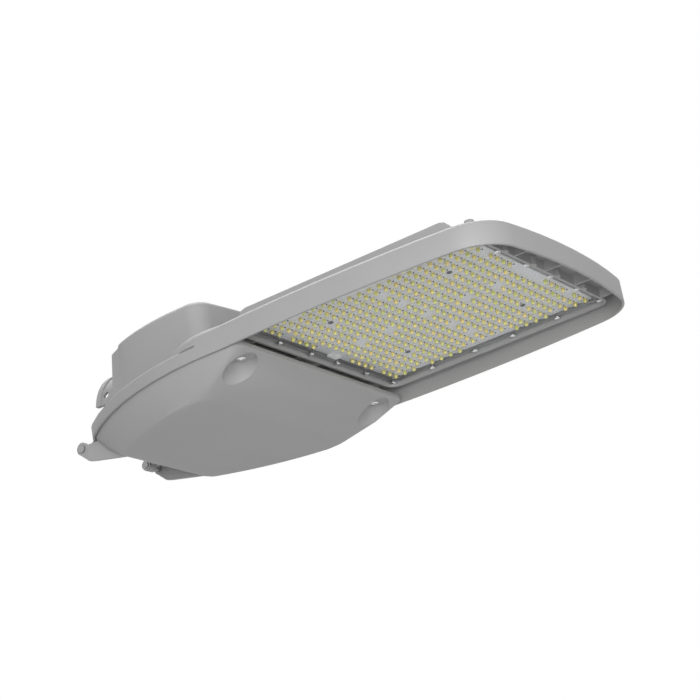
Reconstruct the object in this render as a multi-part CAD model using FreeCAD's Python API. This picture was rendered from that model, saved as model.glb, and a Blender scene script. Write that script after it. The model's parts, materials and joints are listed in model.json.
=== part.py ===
import FreeCAD, Part
import math
import os

# LED street light head, millimetres. The origin is the middle of the mast-arm clamp,
# on the arm's axis. +X runs to the tip, +Z is up, and the LEDs face down.
from FreeCAD import Vector

# LED array: everything in front of the compartment wall follows from it
LEDS_PER_SIDE = 21
PITCH = 13.2
LED_FACE_Z = -16.0
PACKAGE = 5.0
PACKAGE_HEIGHT = 0.8
BOARD_THICK = 1.6
BOARD_MARGIN = 7.0
BOARD_CORNER_R = 6.0
BOARD_SCREW_CELL = 6
EDGE_CLEAR_CELLS = 2
CLEAR_CELL = 7
POST_CELL = 4

# Lens plate, its gasket and the cast lip around them
LENS_MARGIN = 17.4
LENS_CORNER_R = 12.0
LENS_THICK = 2.0
LENS_GAP = 0.6
LENS_AIR = 0.3
GASKET_BAND = 8.0
GASKET_CORNER_R = 6.0
LIP_WALL = 3.4
LIP_LOW_Z = -22.6
LENS_SCREW_INSET = 4.4
LENS_CORNER_INSET = 1.0
LENS_SCREW_ROWS = (2.0, 6.6)

# Straight pieces that stand for each arc of an outline
ARC_FLATS = 8

# Outline of the head, measured from the compartment's front wall and the lens lip
CAB_WALL_X = 189.0
VENT_WIDTH = 27.6
SIDE_CHANNEL = 21.9
TIP_CHANNEL = 37.6
TIP_BOW = 16.0
TIP_CORNER_INSET = 13.3
TIP_CORNER_R = 56.0
BELLY_AHEAD = 161.5
WAIST_AHEAD = 11.0
WAIST_INSET = 3.8
REAR_X = -75.5
REAR_INSET = 103.3
REAR_BULGE_X = 72.0
REAR_BULGE_INSET = 18.3
REAR_CORNER_R = 58.0

# Levels and walls of the casting
RIM_LOW_Z = -36.0
LED_DECK_Z = -7.5
REAR_DECK_Z = -18.5
RIM_BEVEL = 3.5
WALL = 3.5
RIM_WALL = 3.0
STEP_BEHIND = 21.0
LEDGE_WIDTH = 5.0
LEDGE_Z = -29.5

# Heat-sink fins and the two small bosses near the tip
FIN_THICK = 2.6
FIN_GAP = 14.1
FIN_SIDE_INSET = 42.3
FIN_TOP_Z = 16.5
FIN_REAR_AHEAD = 16.0
FIN_TIP_INSET = 71.0
FIN_END_R = 13.0
FIN_END_FLATS = 3
TOP_BOSS_INSET = 49.0
TOP_BOSS_RISE = 12.5
TOP_BOSS_R = 5.2

# Driver compartment dome on top
DOME_TOP_Z = 53.5
DOME_FRONT_BEHIND = 25.0
DOME_BOW = 12.0
DOME_SIDE_INSET = 44.3
DOME_STRAIGHT = 28.0
DOME_MID_X = 78.0
DOME_MID_INSET = 3.0
DOME_REAR_X = -20.0
DOME_REAR_INSET = 38.5
DOME_FRONT_R = 22.0
DOME_REAR_R = 9.0
DOME_BEVEL = 4.0

# Swellings over the door screws
PAD_BEHIND = 13.0
PAD_SIDE_INSET = 35.3
PAD_LENGTH = 130.0
PAD_WIDTH = 66.0
PAD_TOP_Z = -3.0
PAD_CROWN = 5.0
PAD_RINGS = 4

# Mast arm, its hood, cradle and clamp
ARM_D = 60.3
CLAMP_CLEARANCE = 0.1
ARM_ROOM = 3.0
ARM_STOP_X = 58.0
ARM_STOP_WALL = 4.0
ARM_STOP_LOW_Z = 8.0
HOOD_R = 62.0
HOOD_WALL = 4.0
HOOD_AXIS_Z = -2.0
HOOD_REAR_X = -67.0
HOOD_FRONT_X = 17.7
HOOD_LOW_Z = 9.0
HOOD_BEAD = 2.0
HOOD_BEAD_WIDTH = 7.0
HOOD_NOSE_DEG = 30.0
HOOD_FLANK_X = -48.0
HOOD_FLANK_LAP = 4.0
HOOD_HOLE_X = -54.0
HOOD_HOLE_Z = 22.0
HOOD_HOLE_R = 4.0
NOTCH_HALF = 27.0
CRADLE_X = 17.0
CRADLE_WEB = 5.0
CRADLE_TIE = 4.0
CLAMP_LENGTH = 44.0
CLAMP_ROOM = 2.0
CLAMP_WALL = 6.0
CLAMP_EAR = 8.0
CLAMP_BOLT_Y = 43.0
CLAMP_BOLT_D = 8.0
CLAMP_BOLT_ROOM = 0.5
CLAMP_BOLT_GRIP = 19.0
CLAMP_BOSS_R = 8.0
CLAMP_GAP = 6.0
CLAMP_SPLIT_Z = 3.0
CLAMP_WASHER = 1.6

# Door under the driver compartment, set inside the rim
DOOR_GAP = 1.0
DOOR_AHEAD = 34.0
DOOR_CORNER_R = 13.0
DOOR_TOP_Z = -31.0
DOOR_FLANGE_Z = -36.0
DOOR_LOW_Z = -71.0
DOOR_WALL = 3.0
DOOR_FLAT_BEHIND = 39.0
DOOR_FLAT_INSET = 35.3
DOOR_FLAT_CORNER_R = 22.0
DOOR_FLAT_RUN = 8.0
DOOR_FLAT_MID_X = 70.0
DOOR_FLAT_MID_INSET = 12.0
DOOR_FLAT_REAR_X = -21.0
DOOR_FLAT_REAR_INSET = 56.0
DOOR_FLAT_REAR_R = 14.0
DOOR_SLOPE_HALFWAY = 0.5
DOOR_SLOPE_BULGE = 0.1
DOOR_EDGE_SHARE = 0.12
DOOR_EDGE_INSET = 2.5
DOOR_TOP_SHRINK = 6.5
DOOR_SLOPE_SHRINK = 2.0
DOOR_LOW_SHRINK = 3.5
SEAL_AIR = 0.3
SEAL_INSET = 4.3
SEAL_WIDTH = 3.0

# Captive door screws and the pockets around them
DOOR_SCREW_AHEAD = 12.0
DOOR_SCREW_INSET = 42.0
DOOR_SCREW_D = 6.0
DOOR_SCREW_PLAY = 1.2
DOOR_SCREW_TOP_Z = -22.0
DOOR_BOSS_R = 9.0
POCKET_FLOOR_Z = -34.0
POCKET_R = 16.0
POCKET_FLARE = 0.34
RETAINER_R = 5.0
RETAINER_THICK = 0.9

# Rear hinge
HINGE_BEHIND = 11.5
HINGE_Z = -39.5
HINGE_LOBE_R = 8.0
HINGE_LUG_R = 7.0
PIN_D = 8.0
PIN_CLEARANCE = 0.05
PIN_HEAD_R = 5.0
PIN_HEAD = 2.0
PIN_TAIL = 3.0
PIN_CLIP = 1.2
PIN_CLIP_R = 6.5
ARM_PLATE = 4.0
ARM_SIDE_Y = 2.6
ARM_HEEL_DROP = 20.0
ARM_KNEE_DROP = 17.6
ARM_RIM_GAP = 1.0
LUG_INNER_Y = 46.0
LUG_WIDTH = 12.0
LUG_TOP_DROP = 7.0

# Ribs, vent slots and bosses on the LED side
RIB = 2.6
RIB_MIDDLE_Y = 67.0
RIB_OUTER_Y = 128.0
SLOT_INNER_Y = 7.0
SLOT_SIDE_GAP = 11.3
SLOT_EDGE = 4.0
LIP_BOSS_R = 4.5

# Units that hang from the dome's roof, each as middle X and Y, length X, width Y and height
DRIVER = (103.0, 0.0, 70.0, 190.0, 38.0)
TERMINAL_BLOCK = (30.0, -85.0, 40.0, 16.0, 18.0)
SURGE_PROTECTOR = (32.0, 84.0, 46.0, 22.0, 26.0)
HANGER = 6.0
HANGER_R = 4.5
FOOT = 9.0
FOOT_HALF = 6.0
FOOT_THICK = 2.0
POLES = 3
POLE_SLOT = 5.0
EARTH_X = 55.0
EARTH_Y = -60.0

# Fasteners: shank radius, head radius and head height
LENS_SCREW = (2.0, 3.4, 2.0)
BOARD_SCREW = (2.0, 3.2, 1.4)
DOOR_SCREW = (DOOR_SCREW_D / 2, 5.2, 2.4)
UNIT_SCREW = (1.8, 3.6, 2.2)
EARTH_SCREW = (2.5, 4.6, 3.2)
SCREW_GRIP = 4.0
SCREW_END_ROOM = 1.0
PRESS_ROOM = 0.02
HOLE_ROOM = 0.4
HEAD_ROOM = 0.4
HEAD_SIDES = 8
SHANK_SIDES = 6
BOSS_SIDES = 16
PAD_SIDES = 28
BOLT_HEAD = 5.3
BOLT_HEAD_R = 7.4

# Plug on the LED board
PLUG_CELL_X = 10.3
PLUG_CELL_Y = 0.6
PLUG_LENGTH = 18.0
PLUG_WIDTH = 8.0
PLUG_HEIGHT = 2.6
PLUG_LATCH = 1.3
PLUG_ROOM = 1.0

# A little more than flush, for pieces that merge and cutters that pass through
LAP = 1.0

DOWN = Vector(0, 0, -1)
UP = Vector(0, 0, 1)
ALONG = Vector(1, 0, 0)
PLANE = Part.Plane(Vector(0, 0, 0), UP)

EDGE_CELL = LEDS_PER_SIDE // 2
LENS_HALF = EDGE_CELL * PITCH + LENS_MARGIN
LIP_INNER = LENS_HALF + LENS_GAP
LIP_OUTER = LIP_INNER + LIP_WALL
BOARD_HALF = EDGE_CELL * PITCH + BOARD_MARGIN
BOARD_FACE_Z = LED_FACE_Z + PACKAGE_HEIGHT
BASE_Z = BOARD_FACE_Z + BOARD_THICK
LENS_TOP_Z = LED_FACE_Z - LENS_AIR
LENS_LOW_Z = LENS_TOP_Z - LENS_THICK

ARRAY_X = CAB_WALL_X + VENT_WIDTH + LIP_OUTER
HALF_WIDTH = LIP_OUTER + SIDE_CHANNEL
TIP_X = ARRAY_X + LIP_OUTER + TIP_CHANNEL
STEP_X = CAB_WALL_X - STEP_BEHIND
WAIST_X = CAB_WALL_X + WAIST_AHEAD
REAR_HALF = HALF_WIDTH - REAR_INSET
DOOR_INSET = RIM_WALL + DOOR_GAP
DOOR_FRONT_X = CAB_WALL_X + DOOR_AHEAD
DOOR_SCREW_X = CAB_WALL_X + DOOR_SCREW_AHEAD
DOOR_SCREW_Y = HALF_WIDTH - DOOR_SCREW_INSET
DOME_HALF = HALF_WIDTH - DOME_SIDE_INSET
ROOF_Z = DOME_TOP_Z - WALL
ARM_R = ARM_D / 2
SEAT_R = ARM_R + CLAMP_CLEARANCE
CLAMP_TOP_Z = CLAMP_SPLIT_Z - CLAMP_GAP
CLAMP_REACH = CLAMP_BOLT_Y + CLAMP_BOSS_R
HINGE_X = REAR_X - HINGE_BEHIND
ARM_OUTER_Y = REAR_HALF + ARM_SIDE_Y
ARM_INNER_Y = ARM_OUTER_Y - ARM_PLATE
SLOT_END_Y = DOOR_SCREW_Y - SLOT_SIDE_GAP
PAD_X = CAB_WALL_X - PAD_BEHIND
PAD_Y = HALF_WIDTH - PAD_SIDE_INSET
BELOW_Z = DOOR_LOW_Z - LAP
WIDE = HALF_WIDTH + LAP


def box(x0, x1, y0, y1, z0, z1):
    return Part.makeBox(x1 - x0, y1 - y0, z1 - z0, Vector(x0, y0, z0))


def cross_rod(x, z, y0, y1, r):
    return Part.makeCylinder(r, y1 - y0, Vector(x, y0, z), Vector(0, 1, 0))


def arm_rod(x0, x1, r):
    return Part.makeCylinder(r, x1 - x0, Vector(x0, 0, 0), ALONG)


def mirror_y(shape):
    return shape.mirror(Vector(0, 0, 0), Vector(0, 1, 0))


def both_sides(shape):
    return [shape, mirror_y(shape)]


def fuse(first, others):
    return first.fuse(others).removeSplitter()


def cut_all(shape, tools):
    return shape.cut(Part.makeCompound(tools))


def arc(a, b, c):
    return Part.Arc(Vector(*a), Vector(*b), Vector(*c)).toShape()


def line(a, b):
    return Part.makeLine(Vector(*a), Vector(*b))


def side_plate(points, y, thick):
    """Upright plate along the head from its (x, z) corner points."""
    corners = [Vector(x, y, z) for x, z in points + points[:1]]
    return Part.Face(Part.makePolygon(corners)).extrude(Vector(0, thick, 0))


def rounded_wire(edges, corners):
    """Joins edges end to end and rounds the corner after each edge by its radius."""
    edges = list(edges)
    rounds = {}
    for index, radius in enumerate(corners):
        after = (index + 1) % len(edges)
        if radius:
            corner = edges[index].Vertexes[-1].Point
            tool = Part.ChFi2d.FilletAPI(edges[index], edges[after], PLANE)
            tool.perform(radius)
            rounds[index], edges[index], edges[after] = tool.result(corner)
    ordered = []
    for index, edge in enumerate(edges):
        ordered.append(edge)
        if index in rounds:
            ordered.append(rounds[index])
    return Part.Wire(Part.__sortEdges__(ordered))


def rear_side(distance):
    """Three points of the rear side's arc, moved inwards by a distance."""
    waist = Vector(WAIST_X, HALF_WIDTH - WAIST_INSET, 0)
    bulge = Vector(REAR_BULGE_X, HALF_WIDTH - REAR_BULGE_INSET, 0)
    circle = Part.Arc(waist, bulge, Vector(REAR_X, REAR_HALF, 0)).toShape().Curve
    radius = circle.Radius - distance
    points = []
    for x in (WAIST_X, REAR_BULGE_X, REAR_X + distance):
        rise = math.sqrt(radius ** 2 - (x - circle.Center.x) ** 2)
        points.append((x, circle.Center.y + rise, 0))
    return points


def rim_wire():
    """Plan outline of the whole head, counter-clockwise from the tip."""
    tip = (TIP_X - TIP_BOW, HALF_WIDTH - TIP_CORNER_INSET, 0)
    belly = (CAB_WALL_X + BELLY_AHEAD, HALF_WIDTH, 0)
    far = [tip, belly] + rear_side(0)
    near = [(x, -y, 0) for x, y, _ in far]
    edges = [
        arc(near[0], (TIP_X, 0, 0), tip),
        arc(*far[:3]),
        arc(*far[2:]),
        line(far[4], near[4]),
        arc(near[4], near[3], near[2]),
        arc(near[2], near[1], near[0]),
    ]
    return rounded_wire(edges, [TIP_CORNER_R, 0, REAR_CORNER_R, REAR_CORNER_R, 0, TIP_CORNER_R])


def tray_wire(front, side, front_r, rear_r):
    """Plan outline from a front edge, curved sides (waist, middle, rear) and a straight rear."""
    near_front, far_front = [tuple(v.Point) for v in front.Vertexes]
    near_side = [(x, -y, 0) for x, y, _ in side]
    edges = [
        front,
        line(far_front, side[0]),
        arc(*side),
        line(side[2], near_side[2]),
        arc(near_side[2], near_side[1], near_side[0]),
        line(near_side[0], near_front),
    ]
    return rounded_wire(edges, [front_r, 0, rear_r, rear_r, 0, front_r])


def corner_points(wire):
    """Corners of an outline, counter-clockwise, with each arc taken as straight pieces."""
    points = []
    for start, edge in zip(wire.OrderedVertexes, wire.OrderedEdges):
        pieces = ARC_FLATS if hasattr(edge.Curve, "Radius") else 1
        run = edge.discretize(pieces + 1)
        if (run[0] - start.Point).Length > LAP / 100:
            run.reverse()
        points += run[:-1]
    doubled_area = sum(a.x * b.y - b.x * a.y for a, b in zip(points, points[1:] + points[:1]))
    return points if doubled_area > 0 else points[::-1]


def at_level(points, z):
    return [Vector(p.x, p.y, z) for p in points]


def moved_in(points, distance):
    """Moves every side of a counter-clockwise ring inwards in plan."""
    moved = []
    for index, point in enumerate(points):
        before = point - points[index - 1]
        after = points[(index + 1) % len(points)] - point
        first = Vector(-before.y, before.x, 0).normalize()
        second = Vector(-after.y, after.x, 0).normalize()
        moved.append(point + (first + second) * (distance / (1 + first.dot(second))))
    return moved


def between(points, others, share):
    """Ring part of the way from one ring to another in plan."""
    return [a + (b - a) * share for a, b in zip(points, others)]


def round_ring(x, y, z, half_x, half_y, sides):
    turn = 2 * math.pi / sides
    return [Vector(x + half_x * math.cos(k * turn), y + half_y * math.sin(k * turn), z) for k in range(sides)]


def flat_face(points):
    return Part.Face(Part.makePolygon(points + points[:1]))


def pillar(points, z0, z1):
    """Upright prism on a ring of points."""
    return flat_face(at_level(points, z0)).extrude(Vector(0, 0, z1 - z0))


def post(x, y, z0, z1, r, sides):
    """Upright prism with a regular outline, for small fasteners, bosses and their holes."""
    return pillar(round_ring(x, y, z0, r, r, sides), z0, z1)


def cross_post(x, z, y0, y1, r, sides):
    """The same prism lying across the head."""
    solid = post(0, 0, y0, y1, r, sides)
    solid.rotate(Vector(0, 0, 0), ALONG, -90)
    solid.translate(Vector(x, 0, z))
    return solid


def stacked(rings):
    """Closed solid through rings of equally many points, its sides in flat triangles."""
    faces = [flat_face(rings[0]), flat_face(rings[-1])]
    for low, high in zip(rings, rings[1:]):
        for index, point in enumerate(low):
            after = (index + 1) % len(low)
            faces.append(flat_face([point, low[after], high[after]]))
            faces.append(flat_face([point, high[after], high[index]]))
    solid = Part.Solid(Part.makeShell(faces))
    return solid.removeSplitter()


def bevelled(points, z0, z1, bevel):
    """Prism on a ring whose top edge slants inwards."""
    top = at_level(moved_in(points, bevel), z1)
    return stacked([at_level(points, z0), at_level(points, z1 - bevel), top])


def upright_edges(solid):
    return [e for e in solid.Edges if e.BoundBox.ZLength > e.Length - LAP / 100]


def lens_square(half, radius, z0, z1):
    """Square prism with round corners on the middle of the LED array."""
    solid = box(ARRAY_X - half, ARRAY_X + half, -half, half, z0, z1)
    return solid.makeFillet(radius, upright_edges(solid))


def lens_screw_spots():
    """Four screws along each side of the lens plate and one in each corner."""
    reach = LENS_HALF - LENS_SCREW_INSET
    rows = [sign * row * PITCH for row in LENS_SCREW_ROWS for sign in (-1, 1)]
    spots = [(ARRAY_X + sign * reach, y) for sign in (-1, 1) for y in rows]
    spots += [(ARRAY_X + x, sign * reach) for sign in (-1, 1) for x in rows]
    corner = reach - LENS_CORNER_INSET
    spots += [(ARRAY_X + a * corner, b * corner) for a in (-1, 1) for b in (-1, 1)]
    return spots


def board_screw_spots():
    reach = BOARD_SCREW_CELL * PITCH
    return [(ARRAY_X + a * reach, b * reach) for a in (-1, 1) for b in (-1, 1)]


def rim_ring(distance):
    """Corners of the head's outline, moved inwards by a distance."""
    return moved_in(corner_points(rim_wire()), distance)


def slab(z0, z1):
    """The head's outline between two levels, with its top edge bevelled."""
    return bevelled(rim_ring(0), z0, z1, RIM_BEVEL)


def dome_ring(distance):
    """Corners of the driver compartment's outline, moved inwards by a distance."""
    corner_x = CAB_WALL_X - DOME_FRONT_BEHIND - DOME_BOW
    middle = (CAB_WALL_X - DOME_FRONT_BEHIND, 0, 0)
    front = arc((corner_x, -DOME_HALF, 0), middle, (corner_x, DOME_HALF, 0))
    side = [
        (corner_x - DOME_STRAIGHT, DOME_HALF, 0),
        (DOME_MID_X, DOME_HALF - DOME_MID_INSET, 0),
        (DOME_REAR_X, DOME_HALF - DOME_REAR_INSET, 0),
    ]
    return moved_in(corner_points(tray_wire(front, side, DOME_FRONT_R, DOME_REAR_R)), distance)


def hood():
    """Half-round hood over the mast arm, with a bead at its mouth and flanks to the deck."""
    length = HOOD_FRONT_X - HOOD_REAR_X
    start = Vector(HOOD_REAR_X, 0, HOOD_AXIS_Z)
    shell = Part.makeCylinder(HOOD_R, length, start, ALONG)
    bead = Part.makeCylinder(HOOD_R + HOOD_BEAD, HOOD_BEAD_WIDTH, start, ALONG)
    inside = Part.makeCylinder(HOOD_R - HOOD_WALL, length + 2 * LAP, start - ALONG * LAP, ALONG)
    below = box(HOOD_REAR_X - LAP, HOOD_FRONT_X + LAP, -WIDE, WIDE, -WIDE, HOOD_LOW_Z)
    shell = cut_all(shell.fuse(bead), [inside, below])
    nose = box(0, WIDE, -WIDE, WIDE, 0, WIDE)
    nose.rotate(Vector(0, 0, 0), Vector(0, 1, 0), -HOOD_NOSE_DEG)
    nose.translate(Vector(HOOD_FRONT_X, 0, DOME_TOP_Z - DOME_BEVEL))
    shell = shell.cut(nose)
    flank_top = HOOD_LOW_Z + HOOD_FLANK_LAP
    flank = box(HOOD_FLANK_X, DOME_REAR_X + WALL, HOOD_R - HOOD_WALL, HOOD_R, REAR_DECK_Z - LAP, flank_top)
    return shell.fuse(both_sides(flank))


def shoulder_pads():
    """Flat-topped swellings over the door screws, one on each side."""
    height = PAD_TOP_Z - REAR_DECK_Z + PAD_CROWN
    top_angle = math.asin((PAD_TOP_Z - REAR_DECK_Z) / height)
    rings = []
    for index in range(PAD_RINGS + 1):
        angle = top_angle * index / PAD_RINGS
        half_x = PAD_LENGTH / 2 * math.cos(angle)
        half_y = PAD_WIDTH / 2 * math.cos(angle)
        z = REAR_DECK_Z + height * math.sin(angle)
        rings.append(round_ring(PAD_X, PAD_Y, z, half_x, half_y, PAD_SIDES))
    keep = pillar(rim_ring(0), REAR_DECK_Z - WALL, PAD_TOP_Z + LAP)
    return both_sides(stacked([at_level(rings[0], REAR_DECK_Z - LAP)] + rings).common(keep))


def fins():
    """Straight cooling fins along the head, whose ends round off in a few flats."""
    front_x = TIP_X - FIN_TIP_INSET
    rear_x = CAB_WALL_X + FIN_REAR_AHEAD
    middle_x = (front_x + rear_x) / 2
    angles = [math.radians(90 * k / FIN_END_FLATS) for k in range(FIN_END_FLATS + 1)]
    front = [(front_x, LED_DECK_Z - LAP)]
    for angle in angles:
        x = front_x - FIN_END_R * (1 - math.cos(angle))
        front.append((x, FIN_TOP_Z - FIN_END_R * (1 - math.sin(angle))))
    rear = [(2 * middle_x - x, z) for x, z in reversed(front)]
    plate = side_plate(front + rear, -FIN_THICK / 2, FIN_THICK)
    side_y = HALF_WIDTH - FIN_SIDE_INSET
    gaps = round(2 * side_y / (FIN_THICK + FIN_GAP))
    rows = []
    for index in range(gaps + 1):
        fin = plate.copy()
        fin.translate(Vector(0, (2 * index / gaps - 1) * side_y, 0))
        rows.append(fin)
    return rows


def top_bosses():
    x = TIP_X - TOP_BOSS_INSET
    y = HALF_WIDTH - FIN_SIDE_INSET
    return both_sides(post(x, y, LED_DECK_Z - LAP, LED_DECK_Z + TOP_BOSS_RISE, TOP_BOSS_R, BOSS_SIDES))


def hinge_lug():
    """Cast lug behind the rear wall that holds one hinge pin."""
    top_z = REAR_DECK_Z - LUG_TOP_DROP
    hub = cross_rod(HINGE_X, HINGE_Z, LUG_INNER_Y, LUG_INNER_Y + LUG_WIDTH, HINGE_LUG_R)
    web = side_plate([
        (HINGE_X - HINGE_LUG_R, HINGE_Z),
        (HINGE_X - HINGE_LUG_R, RIM_LOW_Z),
        (REAR_X - RIM_WALL, top_z),
        (REAR_X + HINGE_LUG_R, top_z),
        (REAR_X + HINGE_LUG_R, RIM_LOW_Z),
        (HINGE_X + HINGE_LUG_R, HINGE_Z),
    ], LUG_INNER_Y, LUG_WIDTH)
    return fuse(web, [hub])


def cradle():
    """Cast webs and bosses that seat the mast arm and take the clamp bolts."""
    top = ROOF_Z + LAP
    half_web = CRADLE_WEB / 2
    webs = [box(x - half_web, x + half_web, -CLAMP_REACH, CLAMP_REACH, CLAMP_SPLIT_Z, top)
            for x in (-CRADLE_X, CRADLE_X)]
    bosses = both_sides(post(0, CLAMP_BOLT_Y, CLAMP_SPLIT_Z, top, CLAMP_BOSS_R, BOSS_SIDES))
    tie_y = CLAMP_BOLT_Y - CRADLE_TIE / 2
    ties = both_sides(box(-CRADLE_X, CRADLE_X, tie_y, tie_y + CRADLE_TIE, CLAMP_SPLIT_Z, top))
    stop_half = ARM_R + ARM_ROOM
    stop = box(ARM_STOP_X, ARM_STOP_X + ARM_STOP_WALL, -stop_half, stop_half, ARM_STOP_LOW_Z, top)
    body = fuse(webs[0], webs[1:] + bosses + ties + [stop])
    body = body.cut(arm_rod(-CRADLE_X - CRADLE_WEB, CRADLE_X + CRADLE_WEB, SEAT_R))
    hole_top = CLAMP_SPLIT_Z + CLAMP_BOLT_GRIP + LAP
    hole = post(0, CLAMP_BOLT_Y, CLAMP_SPLIT_Z - LAP, hole_top, CLAMP_BOLT_D / 2 + PRESS_ROOM, HEAD_SIDES)
    return cut_all(body, both_sides(hole))


def led_side_keep():
    """What stays in the open underside around the lens: lip, ribs and bosses."""
    lip = lens_square(LIP_OUTER, LENS_CORNER_R + LIP_WALL, LIP_LOW_Z, LED_DECK_Z)
    tip_ribs = [box(ARRAY_X + LIP_INNER, TIP_X, y - RIB / 2, y + RIB / 2, LIP_LOW_Z, LED_DECK_Z)
                for y in (-RIB_OUTER_Y, -RIB_MIDDLE_Y, 0, RIB_MIDDLE_Y, RIB_OUTER_Y)]
    lip_bosses = [post(ARRAY_X + LIP_OUTER - LAP, sign * row * PITCH, LIP_LOW_Z, LED_DECK_Z,
                       LIP_BOSS_R, BOSS_SIDES)
                  for row in LENS_SCREW_ROWS for sign in (-1, 1)]
    slot_ribs = [box(CAB_WALL_X - LAP, ARRAY_X - LIP_INNER, y - RIB, y + RIB, LIP_LOW_Z, LED_DECK_Z)
                 for y in (-SLOT_END_Y - RIB, 0, SLOT_END_Y + RIB)]
    bosses = both_sides(post(DOOR_SCREW_X, DOOR_SCREW_Y, LEDGE_Z, LED_DECK_Z, DOOR_BOSS_R, BOSS_SIDES))
    return fuse(lip, tip_ribs + lip_bosses + slot_ribs + bosses)


def housing_rooms():
    """Hollows of the casting: door recess, rear room, LED side, dome, board seat and clamp."""
    recess = pillar(rim_ring(RIM_WALL), BELOW_Z, LEDGE_Z)
    recess = recess.common(box(REAR_X, CAB_WALL_X + LAP, -WIDE, WIDE, BELOW_Z, LEDGE_Z))
    rear = pillar(rim_ring(RIM_WALL + LEDGE_WIDTH), LEDGE_Z - LAP, REAR_DECK_Z - WALL)
    rear = rear.common(box(REAR_X, CAB_WALL_X - WALL, -WIDE, WIDE, BELOW_Z, 0))
    led = pillar(rim_ring(RIM_WALL), BELOW_Z, LED_DECK_Z - WALL)
    led = led.common(box(CAB_WALL_X, TIP_X, -WIDE, WIDE, BELOW_Z, 0)).cut(led_side_keep())
    dome_room = pillar(dome_ring(WALL), REAR_DECK_Z - WALL - LAP, ROOF_Z)
    seat = lens_square(LIP_INNER, LENS_CORNER_R, LIP_LOW_Z - LAP, BASE_Z)
    clamp_x = CLAMP_LENGTH / 2 + CLAMP_ROOM
    clamp_y = CLAMP_REACH + CLAMP_ROOM
    clamp = box(-clamp_x, clamp_x, -clamp_y, clamp_y, LEDGE_Z, 0)
    return [recess, rear, led, dome_room, seat, clamp]


def housing_holes():
    """Holes for the screws and pins, and the weep holes in the hood."""
    lug_end = LUG_INNER_Y + LUG_WIDTH + LAP
    holes = both_sides(cross_rod(HINGE_X, HINGE_Z, LUG_INNER_Y - LAP, lug_end, PIN_D / 2 + PRESS_ROOM))
    screw_room = DOOR_SCREW_D / 2 + DOOR_SCREW_PLAY
    screw_top = DOOR_SCREW_TOP_Z + SCREW_END_ROOM
    holes += both_sides(post(DOOR_SCREW_X, DOOR_SCREW_Y, BELOW_Z, screw_top, screw_room, BOSS_SIDES))
    holes += both_sides(cross_rod(HOOD_HOLE_X, HOOD_HOLE_Z, ARM_R, HOOD_R + LAP, HOOD_HOLE_R))
    holes += [post(x, y, BASE_Z - LAP, BASE_Z + SCREW_GRIP, LENS_SCREW[0] + PRESS_ROOM, SHANK_SIDES)
              for x, y in lens_screw_spots() + board_screw_spots()]
    return holes


def housing():
    """The whole upper casting."""
    front = slab(RIM_LOW_Z, LED_DECK_Z)
    front = front.common(box(STEP_X, TIP_X, -WIDE, WIDE, RIM_LOW_Z, LED_DECK_Z))
    body = slab(RIM_LOW_Z, REAR_DECK_Z)
    dome = bevelled(dome_ring(0), REAR_DECK_Z - WALL, DOME_TOP_Z, DOME_BEVEL)
    body = body.fuse([front, dome] + shoulder_pads() + fins() + top_bosses() + both_sides(hinge_lug()))
    body = body.cut(housing_rooms())
    slot_x0 = CAB_WALL_X + SLOT_EDGE
    slot_x1 = ARRAY_X - LIP_OUTER - SLOT_EDGE
    slot = box(slot_x0, slot_x1, SLOT_INNER_Y, SLOT_END_Y, BELOW_Z, PAD_TOP_Z + LAP)
    body = cut_all(body, both_sides(slot)).fuse(hood())
    notch = box(REAR_X - LAP, REAR_X + 2 * WALL, -NOTCH_HALF, NOTCH_HALF, BELOW_Z, REAR_DECK_Z)
    body = cut_all(body, [arm_rod(HOOD_REAR_X - ARM_R, ARM_STOP_X, ARM_R + ARM_ROOM), notch])
    body = body.fuse([cradle()] + hangers())
    return cut_all(body, housing_holes()).removeSplitter()


def door_ring():
    side = rear_side(DOOR_INSET)
    half = side[0][1]
    front = line((DOOR_FRONT_X, -half, 0), (DOOR_FRONT_X, half, 0))
    return corner_points(tray_wire(front, side, DOOR_CORNER_R, REAR_CORNER_R - DOOR_INSET))


def door_flat_ring():
    front_x = CAB_WALL_X - DOOR_FLAT_BEHIND
    half = HALF_WIDTH - DOOR_FLAT_INSET
    side = [
        (front_x - DOOR_FLAT_CORNER_R - DOOR_FLAT_RUN, half, 0),
        (DOOR_FLAT_MID_X, half - DOOR_FLAT_MID_INSET, 0),
        (DOOR_FLAT_REAR_X, half - DOOR_FLAT_REAR_INSET, 0),
    ]
    front = line((front_x, -half, 0), (front_x, half, 0))
    return corner_points(tray_wire(front, side, DOOR_FLAT_CORNER_R, DOOR_FLAT_REAR_R))


def door_tray():
    """Outside and hollow of the door, both with a slightly bulging slope."""
    rim = door_ring()
    flat = door_flat_ring()
    middle = between(rim, flat, DOOR_SLOPE_HALFWAY - DOOR_SLOPE_BULGE)
    edge = between(middle, flat, 1 - DOOR_EDGE_SHARE)
    middle_z = DOOR_FLANGE_Z + (DOOR_LOW_Z - DOOR_FLANGE_Z) * DOOR_SLOPE_HALFWAY
    edge_z = middle_z + (DOOR_LOW_Z - middle_z) * (1 - DOOR_EDGE_SHARE)
    outside = stacked([
        at_level(moved_in(flat, DOOR_EDGE_INSET), DOOR_LOW_Z),
        at_level(edge, edge_z),
        at_level(middle, middle_z),
        at_level(rim, DOOR_FLANGE_Z),
        at_level(rim, DOOR_TOP_Z),
    ])
    hollow = stacked([
        at_level(moved_in(flat, DOOR_LOW_SHRINK), DOOR_LOW_Z + DOOR_WALL),
        at_level(moved_in(middle, DOOR_SLOPE_SHRINK), middle_z + DOOR_SLOPE_SHRINK),
        at_level(moved_in(rim, DOOR_TOP_SHRINK), DOOR_TOP_Z + LAP),
    ])
    return outside, hollow


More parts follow.
